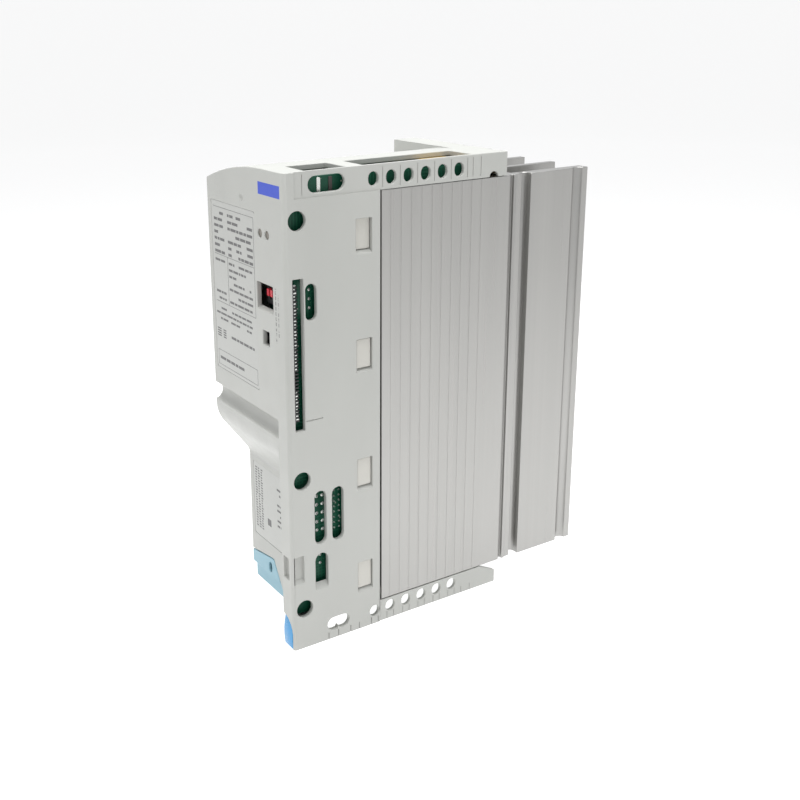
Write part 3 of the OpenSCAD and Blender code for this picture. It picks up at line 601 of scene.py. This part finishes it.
def softened(node, radius, narrow=0.9 * MM):
    """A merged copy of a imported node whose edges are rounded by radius, standing for the node."""
    shape = bmesh.new()
    shape.from_mesh(frame["nodes"][node].data)
    bmesh.ops.remove_doubles(shape, verts=shape.verts, dist=MERGE)
    bmesh.ops.dissolve_limit(shape, angle_limit=math.radians(0.5), verts=shape.verts, edges=shape.edges)
    pierced = [face for face in shape.faces if face.normal.z * PIERCED.get(node, 0) > 0.9]
    bmesh.ops.triangulate(shape, faces=pierced)
    group, widths = face_groups(shape, CREASE)
    weight = shape.edges.layers.float.new("bevel_weight_edge")
    for edge in shape.edges:
        if edge.calc_face_angle(0) >= CREASE and min(widths[group[f]] for f in edge.link_faces) >= narrow:
            edge[weight] = 1.0
    mesh = bpy.data.meshes.new("soft_" + node)
    shape.to_mesh(mesh)
    shape.free()
    mesh.materials.clear()
    mesh.materials.append(finishes[slot_of[node]])
    piece = bpy.data.objects.new("soft_" + node, mesh)
    bpy.context.scene.collection.objects.link(piece)
    bevel = piece.modifiers.new("rounding", "BEVEL")
    bevel.width = radius
    bevel.segments = 2
    bevel.limit_method = "WEIGHT"
    bevel.use_clamp_overlap = False
    bevel.miter_outer = "MITER_ARC"
    piece.modifiers.new("triangles", "TRIANGULATE")
    settle(piece, node)
    shade_facets(piece.data)
    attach(piece, body_of[node])
    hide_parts(node)
    return piece


rounding = {"hood": 0.25, "heatsink": 0.2, "chassis": 0.25, "terminal_cover": 0.3, "corner_cap": 0.25,
    "supply_terminals": 0.2, "relay_terminals": 0.2, "motor_terminals": 0.2, "control_terminals": 0.2,
    "switch_body": 0.15, "power_module": 0.3}
PIERCED = {"hood": -1, "supply_terminals": 1, "relay_terminals": 1, "motor_terminals": -1}
for node, radius in rounding.items():
    softened(node, radius * MM)
print("softened", list(rounding))

# %% [markdown]
# ## Print on thin films
# The front carries a rating plate and the lower face a second one: printed polyester films with
# rounded corners, glued into shallow recesses. Each film is a stack of rounded outlines set a hair
# below the face, so its rim shows as a fine line. The print itself is rows of plain bars of
# seeded random lengths with thin rules between them. They stand for lettering without being any.


# %% Films and printed bars
FILM_DROP, INK = 0.06 * MM, 0.03 * MM


def rounded_outline(x0, x1, z0, z1, radius, steps=6):
    """Points round a rectangle whose corners are quarter circles, counted from its lower right."""
    angle = np.linspace(0, math.pi / 2, steps)
    turn = np.array([-1, 0, 1, 2])[:, None] * math.pi / 2 + angle
    cx = np.array([x1, x1, x0, x0])[:, None] + np.array([-1, -1, 1, 1])[:, None] * radius
    cz = np.array([z0, z1, z1, z0])[:, None] + np.array([1, -1, -1, 1])[:, None] * radius
    return np.stack([cx + radius * np.cos(turn), cz + radius * np.sin(turn)], axis=-1).reshape(-1, 2)


def stack(outline, levels, shrink):
    """Rings of an outline at each level, each drawn in by its own shrink, closed at both ends by a
    ring of no size. The result is (rings, points, 3) as x, level, z."""
    middle_point = outline.mean(axis=0)
    half = np.abs(outline - middle_point).max(axis=0)
    rings = []
    for level, inset in zip(levels, shrink):
        factor = (half - inset) / half
        ring = middle_point + (outline - middle_point) * np.maximum(factor, 0)
        rings.append(np.stack([ring[:, 0], np.full(len(ring), level), ring[:, 1]], axis=1))
    return np.array(rings)


def film(node, name):
    """A thin film in a node's recess: a rounded outline, closed front and back."""
    (x0, y0, z0), (x1, y1, z1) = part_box(node)
    gap = 0.1 * MM
    outline = rounded_outline(x0 + gap, x1 - gap, z0 + gap, z1 - gap, 1.2 * MM)
    levels = [y0 + FILM_DROP, y0 + FILM_DROP, y0 + FILM_DROP + 0.02 * MM, y1, y1]
    rings = stack(outline, levels, [1, 0.02 * MM, 0, 0, 1])
    piece = mesh_piece(name, rings, grid_faces(*rings.shape[:2]), "label_film")
    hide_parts(node)
    return piece


def ink(name, marks, y_film):
    """Printed marks (x0, x1, z0, z1) in millimetres, as thin plates that stand on a film."""
    marks = np.array(marks) * MM
    level = np.ones(len(marks))
    lows = np.stack([marks[:, 0], level * (y_film - INK), marks[:, 2]], axis=1)
    highs = np.stack([marks[:, 1], level * (y_film + 0.01 * MM), marks[:, 3]], axis=1)
    points, faces = boxes(lows, highs)
    return mesh_piece(name, points, faces, "print_grey")


def bar_row(rng, x0, x1, z, height, fill=0.8):
    """One row of bars with small gaps: their lengths are random, and some are left out."""
    marks, x = [], x0
    while x < x1 - 1:
        length = min(rng.uniform(1.2, 5.0), x1 - x)
        if rng.random() < fill:
            marks.append((x, x + length, z, z + height))
        x += length + 0.55
    return marks


def front_print():
    """The rating plate: rules, a table of bars, small rows below, and an outlined box."""
    (x0, y0, z0), (x1, y1, z1) = [[v / MM for v in corner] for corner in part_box("rating_plate")]
    rng = np.random.default_rng(5)
    left_edge, right_edge, rule, table_rows, pitch = x0 + 1.5, x1 - 1.0, 0.16, 7, 2.5
    top_rule, middle_rule, low_rule = z1 - 2.4, z1 - 20.8, z1 - 39.6
    marks = []
    for z in (top_rule, middle_rule, low_rule):
        marks.append((left_edge, right_edge, z, z + rule))
    marks.append((right_edge - rule, right_edge, low_rule, top_rule))
    marks.append((left_edge + 11, left_edge + 11 + rule, low_rule, middle_rule))
    for row in range(table_rows):
        z = top_rule - 2.7 - row * pitch
        marks += bar_row(rng, left_edge + 0.6, left_edge + 9, z, 1.05)
        marks += bar_row(rng, left_edge + 12, right_edge - 1, z, 1.05, 0.8)
    for row in range(table_rows):
        z = middle_rule - 2.6 - row * pitch
        marks += bar_row(rng, left_edge + 12, right_edge - 2, z, 0.9, 0.7)
        if row in (0, 5, 6):
            marks += bar_row(rng, left_edge + 0.6, left_edge + 9, z, 0.9)
    for row in range(3):
        marks += bar_row(rng, left_edge, right_edge - 3, low_rule - 2.8 - row * 2.1, 0.8, 0.92)
    for step in range(4):
        z = low_rule - 14.2 + step * 0.95
        marks.append((left_edge, left_edge + 3.2, z, z + 0.5))
        marks.append((left_edge + 5, left_edge + 7.4, z, z + 0.5))
    marks += bar_row(rng, left_edge + 12, right_edge - 2, low_rule - 13.0, 1.0, 0.9)
    box_z0, box_z1 = z0 + 1.4, z0 + 7.4
    for z in (box_z0, box_z1):
        marks.append((left_edge, right_edge, z, z + rule))
    for x in (left_edge, right_edge - rule):
        marks.append((x, x + rule, box_z0, box_z1))
    marks += bar_row(rng, left_edge + 1.5, left_edge + 22, (box_z0 + box_z1) / 2 - 0.5, 1.1, 0.9)
    return marks


def lower_print():
    """The lower plate: two upright columns of short dashes at the left and blocks at the right."""
    (x0, y0, z0), (x1, y1, z1) = [[v / MM for v in corner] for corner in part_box("lower_plate")]
    rng = np.random.default_rng(9)
    marks = []
    for column in range(3):
        x = x0 + 1.6 + column * 2.4
        marks += [(x, x + rng.uniform(0.9, 1.7), z, z + 0.55) for z in np.arange(z0 + 4, z1 - 2, 1.15)]
    marks.append((x0 + 11.5, x0 + 14.5, z0 + 8, z0 + 11))
    for row in range(9):
        marks += bar_row(rng, x0 + 20, x1 - 4, z1 - 4 - row * 2.3, 0.9, 0.75)
    return marks


labels = (("rating_plate", "rating_film", front_print()), ("lower_plate", "lower_film", lower_print()))
for node, name, marks in labels:
    film(node, name)
    ink(name + "_print", marks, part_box(node)[0][1] + FILM_DROP)
    print(name, "marks", len(marks))

# %% [markdown]
# ## Solder, contacts and tinned strips
# What shows through the wall slots is the solder side of the main board: shiny domes with the
# tip of a pin in the middle, the comb of an edge connector, and two upright strips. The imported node
# gives each joint as a short cylinder. Each one is found as a separate island of the mesh, and a
# dome with a concave skirt is turned about its axis, which is how solder wets a pad.


# %% Solder domes and contacts
def islands(node):
    """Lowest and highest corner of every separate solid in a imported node."""
    shape = bmesh.new()
    shape.from_mesh(frame["nodes"][node].data)
    bmesh.ops.remove_doubles(shape, verts=shape.verts, dist=MERGE)
    left_over, found = set(shape.verts), []
    while left_over:
        patch, stack_of = [], [left_over.pop()]
        while stack_of:
            vert = stack_of.pop()
            patch.append(tuple(vert.co))
            near = {edge.other_vert(vert) for edge in vert.link_edges} & left_over
            left_over -= near
            stack_of += near
        found.append((np.min(patch, axis=0), np.max(patch, axis=0)))
    shape.free()
    return found


def solder_domes():
    """A dome on each island: radius and height follow a wetting curve up to a flat pin tip."""
    shape = [(0, 1), (0.2, 1), (0.27, 0.9), (0.34, 0.66), (0.5, 0.42), (0.75, 0.2), (0.98, 0.04), (0.98, 0)]
    shape = np.array(shape + [(0, 0)])
    points, faces, count = [], [], 0
    for low, high in islands("solder_joints"):
        size = np.array([(high[1] - low[1]) / 2, high[0] - low[0]])
        foot = (low[0], (low[1] + high[1]) / 2, (low[2] + high[2]) / 2)
        ring = turned(shape * size, foot, (1, 0, 0), steps=14)
        points.append(ring)
        faces.append(grid_faces(len(shape), 14) + count)
        count += len(ring)
    points, faces = np.concatenate(points), np.concatenate(faces)
    piece = mesh_piece("solder_domes", points, faces, "solder_tin", sharp=50)
    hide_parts("solder_joints")


def comb_contacts(teeth=40, tooth=0.6, plain=(9, 14)):
    """Bright contacts in the gaps of the connector's comb, left out along its plain stretch."""
    (x0, y0, z0), (x1, y1, z1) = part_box("edge_connector")
    pitch = (z1 - z0 - tooth * MM) / teeth
    index = np.array([i for i in range(teeth) if not plain[0] <= i <= plain[1]])
    z = z0 + tooth * MM + index * pitch + 0.62 * MM
    one, rng = np.ones(len(index)), np.random.default_rng(3)
    reach = rng.uniform(0.1, 0.7, len(index)) * MM
    depth = rng.uniform(0.15, 0.6, len(index)) * MM
    lows = np.stack([one * x0, one * (y1 - 1.35 * MM), z], axis=1)
    highs = np.stack([x1 - reach, y1 - depth, z + 0.55 * MM], axis=1)
    points, faces = boxes(lows, highs)
    mesh_piece("comb_contacts", points, faces, "solder_tin")


def tinned_strips():
    """Two upright strips on the board behind the long slot of the top strip, one tinned and one bare."""
    x1, z1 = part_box("main_board")[1][0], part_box("main_board")[1][2]
    front = cad_box[0][1]
    for name, depth, finish in (("tinned_strip", 15.6, "solder_tin"), ("copper_strip", 20.4, "core_dark")):
        y = front + depth * MM
        outline = rounded_outline(y, y + 1.5 * MM, z1 - 9 * MM, z1 - 0.5 * MM, 0.4 * MM)
        levels = x1 + np.array([-0.05, -0.05, 0.2, 0.3, 0.3]) * MM
        rings = stack(outline, levels, [1, 0, 0, 0.1 * MM, 1])[:, :, [1, 0, 2]]
        mesh_piece(name, rings, grid_faces(*rings.shape[:2]), finish)


solder_domes()
comb_contacts()
tinned_strips()

# %% [markdown]
# ## Power parts inside
# Three kinds of part fill the chamber and show when the hood is off: smoothing capacitors in
# shrink sleeves, with a crimp near the foot and a scored metal top; a ring choke wound with
# enamelled wire; and a film capacitor cast in a glossy box. The turns of the choke are a ripple
# on its ring, which costs far less than a modelled wire and looks the same at this size.


# %% Capacitors, choke and film capacitor
def sleeved_capacitor(node):
    """A sleeve turned about the depth axis, with a crimp groove, and a dished metal top."""
    (x0, y0, z0), (x1, y1, z1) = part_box(node)
    centre, radius, length = ((x0 + x1) / 2, y1, (z0 + z1) / 2), (x1 - x0) / 2, y1 - y0
    crimp = 3.4 * MM
    sleeve = [(0, 0), (radius - 0.4 * MM, 0), (radius, 0.5 * MM), (radius, crimp - MM)]
    sleeve += [(radius - 0.7 * MM, crimp)]
    sleeve += [(radius, crimp + MM), (radius, length - 0.8 * MM), (radius - 0.3 * MM, length - 0.2 * MM)]
    sleeve += [(radius - 1.2 * MM, length), (radius - 1.5 * MM, length - 0.3 * MM), (0, length - 0.3 * MM)]
    sleeve = rounded_profile(sleeve, 0.5 * MM, 3)
    points = turned(sleeve, centre, (0, -1, 0))
    piece = mesh_piece("sleeve_" + node, points, grid_faces(len(sleeve), 40), "sleeve_blue", sharp=60)
    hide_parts(node)
    disc = [(0, -0.35), (1.6, -0.35), (1.6, -0.12), (2.2, -0.05), (0, -0.05)]
    disc = [(radius - inset * MM if inset else 0, length + drop * MM) for inset, drop in disc]
    mesh_piece("top_" + node, turned(disc, centre, (0, -1, 0)), grid_faces(len(disc), 40), "screw_steel")


def wound_ring(node, turns=56, steps=6, around=28):
    """A ring whose section is a rounded rectangle (a superellipse), rippled along its length by the
    absolute sine of half the turn angle, so that each wire stands out as a rounded ridge."""
    (x0, y0, z0), (x1, y1, z1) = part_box(node)
    cx, cy, cz = (x0 + x1) / 2, (y0 + y1) / 2, (z0 + z1) / 2
    outer, half_depth, wire = (x1 - x0) / 2, (y1 - y0) / 2, 0.45 * MM
    inner = 5 * MM
    u = np.linspace(0, 2 * math.pi, turns * steps, endpoint=False)[:, None]
    v = np.linspace(0, 2 * math.pi, around, endpoint=False)[None, :]
    ripple = wire * (np.abs(np.sin(u * turns / 2)) - 1)
    round_x = np.sign(np.cos(v)) * np.abs(np.cos(v)) ** 0.6
    round_y = np.sign(np.sin(v)) * np.abs(np.sin(v)) ** 0.6
    ring = (outer + inner) / 2 + round_x * ((outer - inner) / 2 + ripple)
    y = cy + round_y * (half_depth + ripple)
    points = np.stack([cx + ring * np.cos(u), y + 0 * u, cz + ring * np.sin(u)], axis=-1)
    faces = grid_faces(turns * steps, around, close_rows=True)
    piece = mesh_piece("wound_" + node, points, faces, "copper_wire", sharp=80)
    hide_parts(node)


def cast_box(node, name, finish, edge):
    """A block with all its edges rounded: a stack of rounded outlines that draw in at both ends."""
    (x0, y0, z0), (x1, y1, z1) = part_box(node)
    outline = rounded_outline(x0, x1, y0, y1, edge)
    t = np.linspace(0, math.pi / 2, 5)
    rise, inset = edge * (1 - np.sin(t)), edge * (1 - np.cos(t))
    levels = np.concatenate([[z0], (z0 + rise)[::-1], z1 - rise, [z1]])
    shrink = np.concatenate([[1], inset[::-1], inset, [1]])
    rings = stack(outline, levels, shrink)[:, :, [0, 2, 1]]
    piece = mesh_piece(name, rings, grid_faces(*rings.shape[:2]), finish, sharp=60)
    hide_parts(node)


for i in range(1, 5):
    sleeved_capacitor("capacitor_%d" % i)
wound_ring("choke")
cast_box("filter_capacitor", "film_capacitor", "film_cap_yellow", 0.9 * MM)
cast_box("relay", "relay_shell", "relay_case", 0.6 * MM)

# %% [markdown]
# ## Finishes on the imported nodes
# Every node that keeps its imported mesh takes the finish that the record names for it. Only the
# material slots change: the mesh and its place stay as packed.

# %% Assign the finishes
for node, packed in frame["nodes"].items():
    for index in range(len(packed.material_slots)):
        packed.material_slots[index].material = finishes[slot_of[node]]
print("finished nodes", len(frame["nodes"]))
